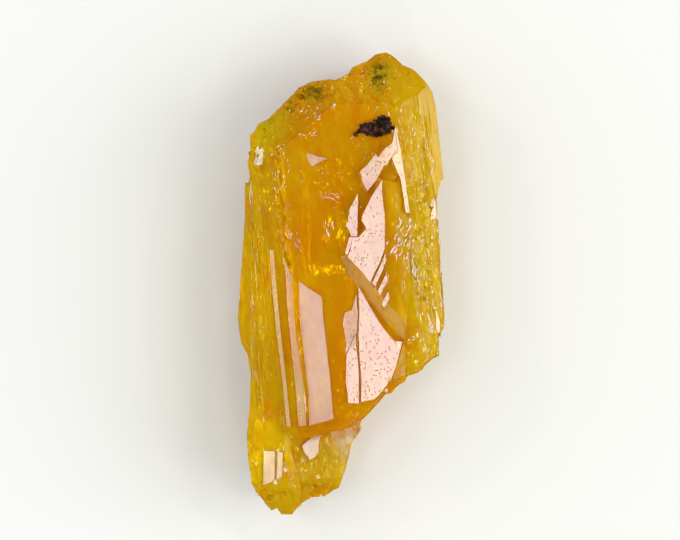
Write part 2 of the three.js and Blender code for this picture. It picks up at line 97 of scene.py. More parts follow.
class Nodes:
    """Adds shader nodes to one material, by short calls."""

    def __init__(self, material: bpy.types.Material) -> None:
        """Starts an empty node tree on a material."""
        material.use_nodes = True
        self.tree = material.node_tree
        self.tree.nodes.clear()

    def add(self, kind: str, **values: object) -> bpy.types.Node:
        """Adds a node.

        Args:
            kind: The node's type.
            values: Attributes of the node, or values for its inputs with spaces written as underscores.

        Returns:
            The new node.
        """
        node = self.tree.nodes.new(kind)
        for name, value in values.items():
            if hasattr(node, name):
                setattr(node, name, value)
                continue
            socket = node.inputs[int(name[1:])] if name[1:].isdigit() else node.inputs[name.replace("_", " ")]
            if isinstance(value, bpy.types.NodeSocket):
                self.tree.links.new(value, socket)
            else:
                socket.default_value = value
        return node

    def maths(self, operation: str, *values: object, clamp: bool = False) -> bpy.types.NodeSocket:
        """Adds a Math node and gives its output."""
        node = self.add("ShaderNodeMath", operation=operation, use_clamp=clamp)
        for socket, value in zip(node.inputs, values):
            if isinstance(value, bpy.types.NodeSocket):
                self.tree.links.new(value, socket)
            else:
                socket.default_value = value
        return node.outputs[0]

    def ramp(self, value: bpy.types.NodeSocket, low: float, high: float) -> bpy.types.NodeSocket:
        """Gives a smooth step of a value, 0 at low and 1 at high."""
        node = self.add(
            "ShaderNodeMapRange", interpolation_type="SMOOTHSTEP", Value=value, From_Min=low, From_Max=high
        )
        return node.outputs["Result"]

    def mix(
        self, share: object, low: object, high: object, blend: str = "MIX"
    ) -> bpy.types.NodeSocket:
        """Mixes two colours by a share of the second, and gives the result."""
        node = self.add("ShaderNodeMix", data_type="RGBA", blend_type=blend)
        for index, value in ((0, share), (6, low), (7, high)):
            if isinstance(value, bpy.types.NodeSocket):
                self.tree.links.new(value, node.inputs[index])
            else:
                node.inputs[index].default_value = value
        return node.outputs[2]

    def tint(
        self, colour: bpy.types.NodeSocket, other: object, share: bpy.types.NodeSocket, most: float
    ) -> bpy.types.NodeSocket:
        """Mixes a colour with another by a share, scaled to a largest one, and gives the result."""
        return self.mix(self.maths("MULTIPLY", share, most), colour, other)

    def space(self, stretch: Sequence[float] = (1.0, 1.0, 1.0), lean: float = 0.0) -> bpy.types.NodeSocket:
        """Gives Object coordinates in millimetres.

        Args:
            stretch: How many times finer the pattern is along each axis.
            lean: How far the axes are turned about Z before that, in radians.

        Returns:
            The coordinates.
        """
        place = self.add("ShaderNodeTexCoord")
        turned = self.add("ShaderNodeMapping", Vector=place.outputs["Object"], Rotation=(0.0, 0.0, -lean))
        scaled = self.add(
            "ShaderNodeMapping",
            Vector=turned.outputs["Vector"],
            Scale=tuple(s / MM for s in stretch),
        )
        return scaled.outputs["Vector"]

    def cloud(self, space: bpy.types.NodeSocket, scale: float, detail: float = 3.0) -> bpy.types.NodeSocket:
        """Gives a noise of about 0.2 to 0.8 on some coordinates."""
        node = self.add("ShaderNodeTexNoise", Vector=space, Scale=scale, Detail=detail)
        return node.outputs["Fac"]

    def within(
        self, space: bpy.types.NodeSocket, middle: Sequence[float], reach: Sequence[float], soft: float = 0.6
    ) -> bpy.types.NodeSocket:
        """Gives 1 inside an ellipsoid and 0 outside it.

        Args:
            space: Coordinates in millimetres.
            middle: The ellipsoid's middle.
            reach: Its half sizes.
            soft: How much of it the fading rim takes.

        Returns:
            The share.
        """
        local = self.add(
            "ShaderNodeMapping",
            vector_type="TEXTURE",
            Vector=space,
            Location=tuple(middle),
            Scale=tuple(reach),
        )
        away = self.add("ShaderNodeVectorMath", operation="LENGTH")
        self.tree.links.new(local.outputs["Vector"], away.inputs[0])
        return self.ramp(away.outputs["Value"], 1.0 + soft / 2, 1.0 - soft)

    def close(self, surface: bpy.types.NodeSocket, volume: bpy.types.NodeSocket | None = None) -> None:
        """Joins the shaders to the material's output."""
        end = self.add("ShaderNodeOutputMaterial", Surface=surface)
        if volume is not None:
            self.tree.links.new(volume, end.inputs["Volume"])


@dataclass(frozen=True)
class ClearYellow:
    """The crystal's finish: clear and yellow, amber in its middle, mirror bright on its growth plates."""

    yellow: tuple[float, ...] = (1.0, 0.735, 0.006, 1.0)
    amber: tuple[float, ...] = (1.0, 0.53, 0.003, 1.0)
    ember: tuple[float, ...] = (0.97, 0.41, 0.002, 1.0)
    lime: tuple[float, ...] = (0.92, 0.88, 0.012, 1.0)
    # Painted shade and painted lilac sheen for the dimmer growth plates
    dim_plate_shade: tuple[float, ...] = (0.92, 0.88, 0.9, 1.0)
    # Pale frost on the rear lump, and a painted highlight on two slanted faces
    cream: tuple[float, ...] = (1.0, 0.95, 0.72, 1.0)
    smoke: tuple[float, ...] = (0.13, 0.13, 0.008, 1.0)
    # Painted shade for the etch pits in the growth plates
    pit_shade: tuple[float, ...] = (0.78, 0.7, 0.64, 1.0)
    clearness: float = 0.66
    refraction: float = REFRACTION
    absorbed: float = 700.0
    passed: tuple[float, ...] = (0.994, 0.955, 0.0, 1.0)

    def material(self) -> bpy.types.Material:
        """Makes the node material."""
        material = bpy.data.materials.new("clear_yellow")
        n = Nodes(material)
        plate = self.alike(n, PLATE_LOOKS, 6.5, 4.5)
        flat = self.alike(n, UP, 9.0, 5.0)
        edge = self.alike(n, EDGE_LOOKS, 6.0, 4.0)
        dim = n.maths("MULTIPLY", plate, self.dim_share(n))
        smooth = n.maths("MAXIMUM", plate, edge)
        coarse = n.maths("MULTIPLY", self.coarse_share(n), n.maths("SUBTRACT", 1.0, smooth))
        body = n.add(
            "ShaderNodeBsdfPrincipled",
            Base_Color=self.colour(n, plate, dim),
            Roughness=self.roughness(n, plate, flat, dim, coarse),
            IOR=self.refraction,
            Transmission_Weight=self.clearness,
            Normal=self.relief(n, plate, flat, coarse),
        )
        depth = n.add("ShaderNodeVolumeAbsorption", Color=self.passed, Density=self.absorbed)
        n.close(body.outputs[0], depth.outputs[0])
        return material

    def alike(self, n: Nodes, looks: Vector, none: float, full: float) -> bpy.types.NodeSocket:
        """Gives 1 on the faces that look one way.

        Args:
            n: The material's nodes.
            looks: The way that they look.
            none: How many degrees away from it a face gets 0.
            full: How many degrees away from it a face still gets 1.

        Returns:
            The share.
        """
        shape = n.add("ShaderNodeNewGeometry")
        near = n.add("ShaderNodeVectorMath", operation="DOT_PRODUCT")
        n.tree.links.new(shape.outputs["True Normal"], near.inputs[0])
        near.inputs[1].default_value = looks
        return n.ramp(near.outputs["Value"], math.cos(math.radians(none)), math.cos(math.radians(full)))

    def grain_axes(self, n: Nodes) -> tuple[bpy.types.NodeSocket, bpy.types.NodeSocket]:
        """Gives how far a point is across the grain and along it, in millimetres."""
        axes = n.add("ShaderNodeSeparateXYZ", Vector=n.space(lean=GRAIN_LEAN))
        return axes.outputs["X"], axes.outputs["Y"]

    def dim_share(self, n: Nodes) -> bpy.types.NodeSocket:
        """Gives how dim the plates are: 1 on the left, more on the slimmest two, less right of the middle."""
        across, along = self.grain_axes(n)
        slim = n.maths("MULTIPLY_ADD", n.ramp(across, -1.55, -1.75), 0.45, 1.0)
        left = n.maths("MULTIPLY", n.ramp(across, -0.2, -0.6), n.ramp(along, -6.3, -6.0))
        left = n.maths("MULTIPLY", n.maths("MULTIPLY", left, n.ramp(along, 4.0, 3.0)), slim)
        high = n.maths("MULTIPLY", n.ramp(along, 3.3, 3.6), n.ramp(across, 2.5, 2.3))
        blade = n.within(n.space(), (0.38, -1.5, 5.0), (0.3, 1.2, 1.0), 0.3)
        chip = n.within(n.space(), (-1.15, 5.0, 5.0), (0.6, 0.5, 1.5), 0.3)
        share = n.maths("MAXIMUM", left, n.maths("MAXIMUM", n.maths("MULTIPLY", high, 0.45), blade))
        foot = n.maths("MULTIPLY", n.ramp(along, -6.0, -6.4), 0.35)
        return n.maths("MAXIMUM", share, n.maths("MAXIMUM", chip, foot))

    def coarse_share(self, n: Nodes) -> bpy.types.NodeSocket:
        """Gives 1 where the skin is etched or broken: the right wing, the dome and the lower ends."""
        across, along = self.grain_axes(n)
        wing = n.ramp(across, 2.2, 2.7)
        dome = n.ramp(along, 6.2, 7.2)
        foot = n.ramp(along, -6.0, -6.8)
        return n.maths("MAXIMUM", n.maths("MAXIMUM", wing, dome), foot)

    def colour(
        self, n: Nodes, plate: bpy.types.NodeSocket, dim: bpy.types.NodeSocket
    ) -> bpy.types.NodeSocket:
        """Gives the colour zones: a smoky, partly lime dome, yellow flanks and an amber middle, with painted shade on
        the dome's steep rim, in the plates' pits and on the dimmer plates, and a painted highlight on two slanted
        faces.

        Args:
            n: The material's nodes.
            plate: 1 on the growth plates.
            dim: 1 on the dimmer of the plates.

        Returns:
            The colour.
        """
        place = n.space()
        across, along = self.grain_axes(n)
        wobble = n.maths("MULTIPLY_ADD", n.cloud(place, 0.8, 4.0), 2.2, -1.1)
        across = n.maths("ADD", across, wobble)
        along = n.maths("ADD", along, wobble)
        middle = n.maths("MULTIPLY", n.ramp(across, -2.7, -1.7), n.ramp(across, 2.9, 1.9))
        middle = n.maths("MULTIPLY", middle, n.maths("MULTIPLY_ADD", n.ramp(along, 7.3, 6.5), 0.5, 0.5))
        middle = n.maths("MULTIPLY", middle, n.ramp(along, -6.8, -6.0))
        colour = n.mix(middle, self.yellow, self.amber)
        left = n.within(place, (-3.2, 6.3, 3.5), (1.2, 1.6, 4.0), 0.6)
        colour = n.tint(colour, self.lime, left, 0.9)
        veils = n.cloud(n.space((1.5, 0.7, 1.5), GRAIN_LEAN), 1.3, 6.0)
        colour = n.tint(colour, self.yellow, n.ramp(veils, 0.52, 0.68), 0.5)
        colour = n.tint(colour, self.ember, n.ramp(veils, 0.46, 0.34), 0.6)
        fine = n.cloud(n.space((1.4, 0.8, 1.4), GRAIN_LEAN), 3.4, 4.0)
        colour = n.tint(colour, self.yellow, n.ramp(fine, 0.54, 0.64), 0.4)
        colour = n.tint(colour, self.ember, n.ramp(fine, 0.46, 0.38), 0.45)
        colour = n.tint(colour, self.yellow, n.ramp(across, 2.3, 3.0), 0.5)
        # Painted shade: steep and low faces near the domed end are tinted towards ember, for the deeper colour seen
        # along the dome's outline
        steep = n.add("ShaderNodeSeparateXYZ", Vector=n.add("ShaderNodeNewGeometry").outputs["True Normal"])
        ragged = n.maths("MULTIPLY_ADD", n.cloud(place, 2.2, 5.0), 5.0, -2.5)
        rim = n.ramp(n.maths("ADD", along, ragged), 5.2, 8.2)
        height = n.add("ShaderNodeSeparateXYZ", Vector=place).outputs["Z"]
        thin = n.maths("MAXIMUM", n.ramp(steep.outputs["Z"], 0.78, 0.4), n.ramp(height, 4.0, 3.1))
        rim = n.maths("MULTIPLY", thin, rim)
        colour = n.tint(colour, self.ember, rim, 0.85)
        lump = n.within(place, (0.5, -6.1, 3.3), (0.85, 0.95, 1.6), 0.7)
        lump = n.maths("MULTIPLY", lump, n.ramp(ragged, -0.9, 0.1))
        colour = n.tint(colour, self.cream, lump, 0.9)
        # Painted highlight: faces that look the way of the slant and of the apron's side are lightened towards cream
        gleam = n.maths("MAXIMUM", self.alike(n, SLANT_LOOKS, 6.0, 4.0), self.alike(n, APRON_SIDE_LOOKS, 6.0, 4.0))
        colour = n.tint(colour, self.cream, gleam, 0.35)
        for middle, reach in (
            ((-1.4, 1.9, 4.5), (0.9, 1.1, 3.0)),
            ((-0.2, 3.4, 4.5), (0.7, 0.7, 3.0)),
            ((-0.1, -2.8, 4.5), (0.45, 2.8, 3.0)),
            ((0.3, -5.6, 4.5), (2.4, 0.5, 3.0)),
        ):
            spot = n.within(place, middle, reach, 0.7)
            colour = n.tint(colour, self.ember, spot, 0.75)
        wisps = n.ramp(n.cloud(place, 3.2, 5.0), 0.4, 0.58)
        for middle, reach in (
            ((1.5, 8.32, 3.5), (0.46, 0.66, 4.0)),
            ((-1.14, 7.6, 3.5), (0.62, 0.34, 4.0)),
            ((-2.0, 7.05, 3.5), (0.26, 0.26, 4.0)),
        ):
            smoky = n.maths("MULTIPLY", n.within(place, middle, reach, 0.9), wisps)
            colour = n.tint(colour, self.smoke, smoky, 0.85)
        # Painted shade: the etch pits in the plates are darkened
        colour = n.mix(n.maths("MULTIPLY", self.pits(n), plate), colour, self.pit_shade, "MULTIPLY")
        # Painted shade and painted lilac sheen: the dimmer plates are multiplied by a pale lilac grey
        return n.mix(dim, colour, self.dim_plate_shade, "MULTIPLY")

    def roughness(
        self,
        n: Nodes,
        plate: bpy.types.NodeSocket,
        flat: bpy.types.NodeSocket,
        dim: bpy.types.NodeSocket,
        coarse: bpy.types.NodeSocket,
    ) -> bpy.types.NodeSocket:
        """Gives the roughness.

        Args:
            n: The material's nodes.
            plate: 1 on the growth plates.
            flat: 1 on faces that look straight up.
            dim: 1 on the dimmer of the plates.
            coarse: 1 where the skin is etched or broken.

        Returns:
            The roughness.
        """
        patches = n.cloud(n.space(), 1.3, 5.0)
        skin = n.maths("MULTIPLY_ADD", patches, 0.12, 0.03)
        skin = n.maths("MULTIPLY_ADD", n.maths("MULTIPLY", patches, coarse), 0.06, skin)
        bare = n.maths("SUBTRACT", 1.0, n.maths("MULTIPLY", flat, 0.5))
        skin = n.maths("MULTIPLY", skin, bare)
        streaks = n.cloud(n.space((4.0, 0.4, 4.0), GRAIN_LEAN), 1.0)
        shine = n.maths("MULTIPLY_ADD", streaks, 0.08, 0.05)
        shine = n.maths("MULTIPLY_ADD", dim, 0.13, shine)
        shine = n.maths("MULTIPLY_ADD", self.pits(n), 0.14, shine)
        off = n.maths("SUBTRACT", 1.0, plate)
        return n.maths("ADD", n.maths("MULTIPLY", skin, off), n.maths("MULTIPLY", shine, plate))

    def pits(self, n: Nodes) -> bpy.types.NodeSocket:
        """Gives 1 in the tiny etch pits of the plates, which gather in patches and are rare on the left."""
        across, _ = self.grain_axes(n)
        cells = n.add("ShaderNodeTexVoronoi", Vector=n.space(), Scale=8.5)
        patches = n.ramp(n.cloud(n.space(), 1.2), 0.78, 0.55)
        patches = n.maths("MULTIPLY", patches, n.maths("MULTIPLY_ADD", n.ramp(across, -0.4, 0.1), 0.9, 0.1))
        return n.maths("MULTIPLY", n.ramp(cells.outputs["Distance"], 0.28, 0.14), patches)

    def relief(
        self,
        n: Nodes,
        plate: bpy.types.NodeSocket,
        flat: bpy.types.NodeSocket,
        coarse: bpy.types.NodeSocket,
    ) -> bpy.types.NodeSocket:
        """Gives the fine relief: striae along the grain, pits in the plates, and tiny facets elsewhere.

        Args:
            n: The material's nodes.
            plate: 1 on the growth plates.
            flat: 1 on faces that look straight up.
            coarse: 1 where the skin is etched or broken.

        Returns:
            The normal.
        """
        even = n.maths("MAXIMUM", plate, flat)
        bare = n.maths("SUBTRACT", 1.0, even)
        striae = n.cloud(n.space((11.0, 0.5, 11.0), GRAIN_LEAN), 1.0, 4.0)
        height = n.maths("MULTIPLY", striae, n.maths("MULTIPLY_ADD", bare, 0.95, 0.05))
        crumbs = n.cloud(n.space((1.3, 0.8, 1.3), GRAIN_LEAN), 2.6, 2.0)
        height = n.maths("MULTIPLY_ADD", n.maths("MULTIPLY", crumbs, coarse), 1.2, height)
        height = n.maths("MULTIPLY_ADD", n.maths("MULTIPLY", self.pits(n), plate), -0.14, height)
        bump = n.add("ShaderNodeBump", Height=height, Strength=0.6, Distance=0.03 * MM)
        cells = n.add("ShaderNodeTexVoronoi", Vector=n.space((1.7, 0.7, 1.7), GRAIN_LEAN), Scale=6.0)
        share = n.maths("MULTIPLY_ADD", coarse, 0.3, n.maths("MULTIPLY", bare, 0.1))
        middle = n.add("ShaderNodeVectorMath", operation="SUBTRACT", _0=cells.outputs["Color"])
        middle.inputs[1].default_value = (0.5, 0.5, 0.5)
        tilt = n.add("ShaderNodeVectorMath", operation="SCALE", _0=middle.outputs[0], Scale=share)
        tilted = n.add("ShaderNodeVectorMath", operation="ADD", _0=bump.outputs["Normal"], _1=tilt.outputs[0])
        looks = n.add("ShaderNodeVectorMath", operation="NORMALIZE", _0=tilted.outputs[0])
        return looks.outputs[0]


@dataclass(frozen=True)
class OxideFinish:
    """Dark red-brown iron oxide with a semi-metallic sheen."""

    dark: tuple[float, ...] = (0.012, 0.006, 0.006, 1.0)
    rust: tuple[float, ...] = (0.16, 0.035, 0.012, 1.0)
    grey: tuple[float, ...] = (0.11, 0.075, 0.08, 1.0)

    def material(self) -> bpy.types.Material:
        """Makes the node material."""
        material = bpy.data.materials.new("iron_oxide")
        n = Nodes(material)
        space = n.space()
        colour = n.mix(n.ramp(n.cloud(space, 5.0), 0.45, 0.7), self.dark, self.rust)
        colour = n.mix(n.ramp(n.cloud(space, 9.0), 0.55, 0.75), colour, self.grey)
        fine = n.cloud(space, 16.0, 4.0)
        bump = n.add("ShaderNodeBump", Height=fine, Strength=0.6, Distance=0.02 * MM)
        body = n.add(
            "ShaderNodeBsdfPrincipled",
            Base_Color=colour,
            Roughness=n.maths("MULTIPLY_ADD", fine, 0.4, 0.1),
            Metallic=0.25,
            Normal=bump.outputs["Normal"],
        )
        n.close(body.outputs[0])
        return material


@dataclass(frozen=True)
class FlakeFinish:
    """A fracture inside the crystal, blotched in two colours: bright as a mirror, or healed and dull as frost."""

    name: str
    pale: tuple[float, ...]
    gold: tuple[float, ...]
    scale: float
    spread: float
    least_rough: float
    metallic: float

    def material(self) -> bpy.types.Material:
        """Makes the node material."""
        material = bpy.data.materials.new(self.name)
        n = Nodes(material)
        blotches = n.cloud(n.space(), self.scale)
        body = n.add(
            "ShaderNodeBsdfPrincipled",
            Base_Color=n.mix(n.ramp(blotches, 0.5 - self.spread, 0.5 + self.spread), self.pale, self.gold),
            Roughness=n.maths("MULTIPLY_ADD", blotches, 0.3, self.least_rough),
            Metallic=self.metallic,
        )
        n.close(body.outputs[0])
        return material


MIRROR = FlakeFinish("fracture_mirror", (1.0, 0.97, 0.86, 1.0), (1.0, 0.8, 0.3, 1.0), 3.0, 0.1, 0.05, 1.0)
HEALED = FlakeFinish("fracture_frost", (1.0, 0.86, 0.16, 1.0), (1.0, 0.7, 0.03, 1.0), 4.0, 0.15, 0.4, 0.0)


@dataclass(frozen=True)
class SmokeFinish:
    """Dull olive black specks, which together look like smoke in the crystal."""

    black: tuple[float, ...] = (0.008, 0.01, 0.004, 1.0)
    olive: tuple[float, ...] = (0.05, 0.06, 0.012, 1.0)

    def material(self) -> bpy.types.Material:
        """Makes the node material."""
        material = bpy.data.materials.new("dark_speck")
        n = Nodes(material)
        body = n.add(
            "ShaderNodeBsdfPrincipled",
            Base_Color=n.mix(n.cloud(n.space(), 4.0), self.black, self.olive),
            Roughness=0.7,
        )
        n.close(body.outputs[0])
        return material


def piece_of(shape: bmesh.types.BMesh, name: str, material: bpy.types.Material) -> bpy.types.Object:
    """Turns a finished bmesh into a piece of the crystal, and frees the bmesh.

    Args:
        shape: The piece's shape, in metres.
        name: The piece's name.
        material: Its material.

    Returns:
        The new object, riding on the one body.
    """
    bmesh.ops.triangulate(shape, faces=shape.faces[:])
    mesh = bpy.data.meshes.new(name)
    shape.to_mesh(mesh)
    shape.free()
    mesh.materials.append(material)
    piece = bpy.data.objects.new(name, mesh)
    bpy.context.scene.collection.objects.link(piece)
    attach(piece, "root")
    log.info("%s: %d triangles", name, len(mesh.polygons))
    return piece


def put_in_order(shape: bmesh.types.BMesh) -> None:
    """Rebuilds a shape with its points and faces in an order that follows from their places alone.

    Extruding leaves them in an order that changes from run to run, and wearing the skin depends on their order.

    Args:
        shape: The shape.
    """
    points = sorted(shape.verts, key=lambda vert: tuple(vert.co))
    rank = {vert: index for index, vert in enumerate(points)}
    places = [tuple(vert.co) for vert in points]
    rims = []
    for face in shape.faces:
        rim = [rank[vert] for vert in face.verts]
        first = rim.index(min(rim))
        rims.append(rim[first:] + rim[:first])
    mesh = bpy.data.meshes.new("ordered")
    mesh.from_pydata(places, [], sorted(rims))
    shape.clear()
    shape.from_mesh(mesh)
    bpy.data.meshes.remove(mesh)


@dataclass(frozen=True)
class Crack:
    """A fine crack in a growth plate: its middle, its length and width, and its direction in degrees from +X."""

    middle: tuple[float, float]
    length: float
    width: float
    turn: float


@dataclass(frozen=True)
class WornEdge:
    """A stretch of edge that is worn more than the rest.

    It has two ends, a reach and a depth in millimetres, and a share by which the depth varies.
    """

    start: tuple[float, float]
    end: tuple[float, float]
    reach: float
    depth: float
    ragged: float = 0.4

    def depth_at(self, place: Vector) -> float:
        """Gives how deep the skin is worn at a place, all in millimetres."""
        start, end = Vector(self.start), Vector(self.end)
        along = end - start
        share = min(1.0, max(0.0, (place.xy - start).dot(along) / along.length_squared))
        away = (place.xy - start - along * share).length
        varied = 1.0 + self.ragged * (2.0 * noise.noise(place * 5.0) - 0.5)
        return self.depth * max(0.0, 1.0 - away / self.reach) * max(0.0, varied)


@dataclass
class ClearCrystal:
    """The whole crystal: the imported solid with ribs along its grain, worn skin and cracks in its plates."""

    rib_pitch: tuple[float, float] = (0.08, 0.14)
    cross_pitch: tuple[float, float] = (0.16, 0.3)
    ledge_pitch: tuple[float, float] = (0.12, 0.26)
    rib_depth: float = 0.022
    wear_depth: float = 0.05
    crack_depth: float = 0.05
    finish: ClearYellow = field(default_factory=ClearYellow)
    cracks: tuple[Crack, ...] = (
        Crack((1.18, 1.5), 0.44, 0.025, 122.0),
        Crack((0.96, -4.3), 0.5, 0.025, 94.0),
        Crack((-2.84, -7.16), 0.46, 0.03, 45.0),
    )
    worn_edges: tuple[WornEdge, ...] = (
        WornEdge((-2.62, 5.3), (-2.14, 0.8), 0.2, 0.16, 1.9),
        WornEdge((-3.83, 4.08), (-3.7, 4.12), 0.24, 0.17),
        WornEdge((1.66, 4.12), (2.4, 4.12), 0.2, 0.1),
    )

    def build(self) -> bpy.types.Object:
        """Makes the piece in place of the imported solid.

        Returns:
            The piece.
        """
        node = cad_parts["crystal"]
        shape = bmesh.new()
        shape.from_mesh(node.data)
        bmesh.ops.remove_doubles(shape, verts=shape.verts[:], dist=1e-7)
        bmesh.ops.dissolve_limit(
            shape, angle_limit=math.radians(0.1), verts=shape.verts[:], edges=shape.edges[:]
        )
        for crack in self.cracks:
            self.sink(shape, crack)
        put_in_order(shape)
        chance = random.Random(4)
        self.slice_all(shape, ACROSS, self.rib_pitch, chance)
        self.slice_all(shape, GRAIN, self.cross_pitch, chance)
        self.slice_all(shape, UP, self.ledge_pitch, chance)
        self.wear(shape)
        piece = piece_of(shape, "clear_crystal", self.finish.material())
        piece.data.shade_smooth()
        piece.data.set_sharp_from_angle(angle=math.radians(14.0))
        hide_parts("crystal")
        return piece

    def near(
        self, shape: bmesh.types.BMesh, middle: Vector, reach: float
    ) -> list[bmesh.types.BMFace]:
        """Picks the front's faces that may meet a square.

        Args:
            shape: The crystal.
            middle: The square's middle.
            reach: Its half size.

        Returns:
            The faces.
        """
        found = []
        for face in shape.faces:
            if face.normal.z > 0.4:
                aways = [v.co - middle for v in face.verts]
                if min(a.x for a in aways) < reach and max(a.x for a in aways) > -reach:
                    if min(a.y for a in aways) < reach and max(a.y for a in aways) > -reach:
                        found.append(face)
        return found

    def sink(self, shape: bmesh.types.BMesh, crack: Crack) -> None:
        """Cuts a crack's slim lozenge out of the front and sinks it.

        Args:
            shape: The crystal.
            crack: The crack.
        """
        turn = math.radians(crack.turn)
        along = Vector((math.cos(turn), math.sin(turn), 0.0))
        aside = UP.cross(along)
        middle = Vector((*crack.middle, 0.0)) * MM
        half = (crack.length / 2 * MM, crack.width / 2 * MM)
        faces = self.near(shape, middle, half[0])
        rims = [part for face in faces for part in (*face.edges, *face.verts)]
        parts = [*dict.fromkeys(rims), *faces]
        sides = [
            (aside + along * 0.05, half[1]),
            (-aside - along * 0.05, half[1]),
            (along + aside * 0.3, half[0]),
            (-along + aside * 0.4, half[0]),
        ]
        for normal, reach in sides:
            spot = middle + normal.normalized() * reach
            cut = bmesh.ops.bisect_plane(shape, geom=parts, dist=1e-8, plane_co=spot, plane_no=normal)
            parts = cut["geom"]
        inside = []
        for face in (part for part in parts if isinstance(part, bmesh.types.BMFace)):
            away = face.calc_center_median() - middle
            away.z = 0.0
            if all(away.dot(normal.normalized()) < reach for normal, reach in sides):
                inside.append(face)
        grown = bmesh.ops.extrude_face_region(shape, geom=inside)["geom"]
        sunk = [part for part in grown if isinstance(part, bmesh.types.BMVert)]
        bmesh.ops.translate(shape, vec=UP * -self.crack_depth * MM, verts=sunk)
        bmesh.ops.delete(shape, geom=[face for face in inside if face.is_valid], context="FACES_KEEP_BOUNDARY")

    def slice_all(
        self, shape: bmesh.types.BMesh, across: Vector, pitch: tuple[float, float], chance: random.Random
    ) -> None:
        """Cuts the whole surface along parallel planes, so that it can be worn.

        Args:
            shape: The crystal.
            across: The planes' common normal.
            pitch: The smallest and largest distance between two planes.
            chance: The source of the distances.
        """
        reaches = [v.co.dot(across) / MM for v in shape.verts]
        at = min(reaches) + chance.uniform(*pitch)
        while at < max(reaches):
            parts = shape.verts[:] + shape.edges[:] + shape.faces[:]
            bmesh.ops.bisect_plane(shape, geom=parts, dist=2e-7, plane_co=across * at * MM, plane_no=across)
            at += chance.uniform(*pitch)

    def wear(self, shape: bmesh.types.BMesh) -> None:
        """Sinks the skin a little: ribs along the grain, and lumps where it is etched or broken.

        Args:
            shape: The crystal.
        """
        shape.normal_update()
        floor = 0.02 * MM
        smooth = (PLATE_LOOKS, EDGE_LOOKS, HEEL_LOOKS)
        moves = []
        for vert in shape.verts:
            if vert.co.z < floor:
                continue
            if any(f.normal.dot(looks) > SAME_WAY for f in vert.link_faces for looks in smooth):
                continue
            place = vert.co / MM
            grain = Vector((place.dot(ACROSS), place.dot(GRAIN), place.z))
            rib = noise.noise(Vector((grain.x * 5.0, grain.y * 0.25, grain.z * 5.0))) + 0.4
            lump = noise.noise(grain * 2.3) + 0.6 * noise.noise(grain * 5.1) + 0.3
            rough = min(1.0, max(0.0, (grain.x - 2.2) * 2.0)) + min(1.0, max(0.0, grain.y - 6.4))
            rough = min(1.0, rough + min(1.0, max(0.0, -3.2 - grain.y + grain.x * 0.4)))
            depth = self.rib_depth * max(0.0, rib) * (1.0 - 0.5 * rough)
            depth += self.wear_depth * max(0.0, lump) * rough
            if all(f.normal.z > LEVEL for f in vert.link_faces):
                depth *= 0.15
            depth += sum(edge.depth_at(place) for edge in self.worn_edges)
            moves.append((vert, vert.normal * (-depth * MM)))
        skin = BVHTree.FromBMesh(shape)
        for vert, move in moves:
            spot, looks, _, _ = skin.find_nearest(vert.co + move)
            if (vert.co + move - spot).dot(looks) < 0.0:
                vert.co += move


@dataclass
class OxideCrust:
    """The dark grains on the front near the domed end."""

    small_grains: int = 70
    small_radius: tuple[float, float] = (0.025, 0.06)
    finish: OxideFinish = field(default_factory=OxideFinish)

    def build(self) -> bpy.types.Object:
        """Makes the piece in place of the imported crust.

        Returns:
            The piece.
        """
        shape = bmesh.new()
        shape.from_mesh(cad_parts["iron_oxide_crust"].data)
        bmesh.ops.remove_doubles(shape, verts=shape.verts[:], dist=1e-7)
        shape.normal_update()
        chance = random.Random(9)
        tops = [f for f in shape.faces if f.normal.z > 0.2 and f.calc_center_median().z > 4.93 * MM]
        spots = [chance.choice(tops).calc_center_median() for _ in range(self.small_grains)]
        bmesh.ops.subdivide_edges(shape, edges=shape.edges[:], cuts=1, use_grid_fill=True)
        for vert in shape.verts:
            vert.co += vert.normal * (noise.noise(vert.co / MM * 11.0) - 0.6) * 0.02 * MM
        for spot in spots:
            place = Matrix.Translation(spot) @ Matrix.Rotation(chance.uniform(0, 3), 4, "X")
            bmesh.ops.create_icosphere(
                shape, subdivisions=1, radius=chance.uniform(*self.small_radius) * MM, matrix=place
            )
        piece = piece_of(shape, "iron_oxide_grains", self.finish.material())
        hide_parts("iron_oxide_crust")
        return piece


class Skin:
    """The crystal's front, to place what lies under it."""

    def __init__(self, crystal: bpy.types.Object) -> None:
        """Reads the finished crystal's mesh."""
        mesh = crystal.data
        self.tree = BVHTree.FromPolygons([v.co for v in mesh.vertices], [p.vertices for p in mesh.polygons])

    def meet(self, x: float, y: float) -> tuple[Vector, Vector] | None:
        """Finds the front.

        Args:
            x: The spot's place across, in millimetres.
            y: Its place along, in millimetres.

        Returns:
            The spot in metres and the way that the front looks there, or None beside the crystal.
        """
        place, looks, _, _ = self.tree.ray_cast(Vector((x, y, ABOVE)) * MM, -UP)
        return (place, looks) if place else None

    def holds(self, spot: Vector) -> bool:
        """Tells whether a spot is inside the crystal."""
        place, looks, _, _ = self.tree.find_nearest(spot)
        return (spot - place).dot(looks) < 0.0


def basis(along: Vector, looks: Vector) -> Matrix:
    """Gives the turn that brings X to a direction in a plane, and Z to the way that the plane looks.

    Args:
        along: Roughly the direction.
        looks: The way that the plane looks.

    Returns:
        The turn.
    """
    level = (along - looks * along.dot(looks)).normalized()
    return Matrix((level, looks.cross(level), looks)).transposed().to_4x4()


def pour(part: bmesh.types.BMesh, shape: bmesh.types.BMesh) -> None:
    """Turns a part's faces outwards, adds it to a shape and frees it.

    Args:
        part: The part.
        shape: The shape.
    """
    bmesh.ops.recalc_face_normals(part, faces=part.faces[:])
    mesh = bpy.data.meshes.new("part")
    part.to_mesh(mesh)
    part.free()
    shape.from_mesh(mesh)
    bpy.data.meshes.remove(mesh)


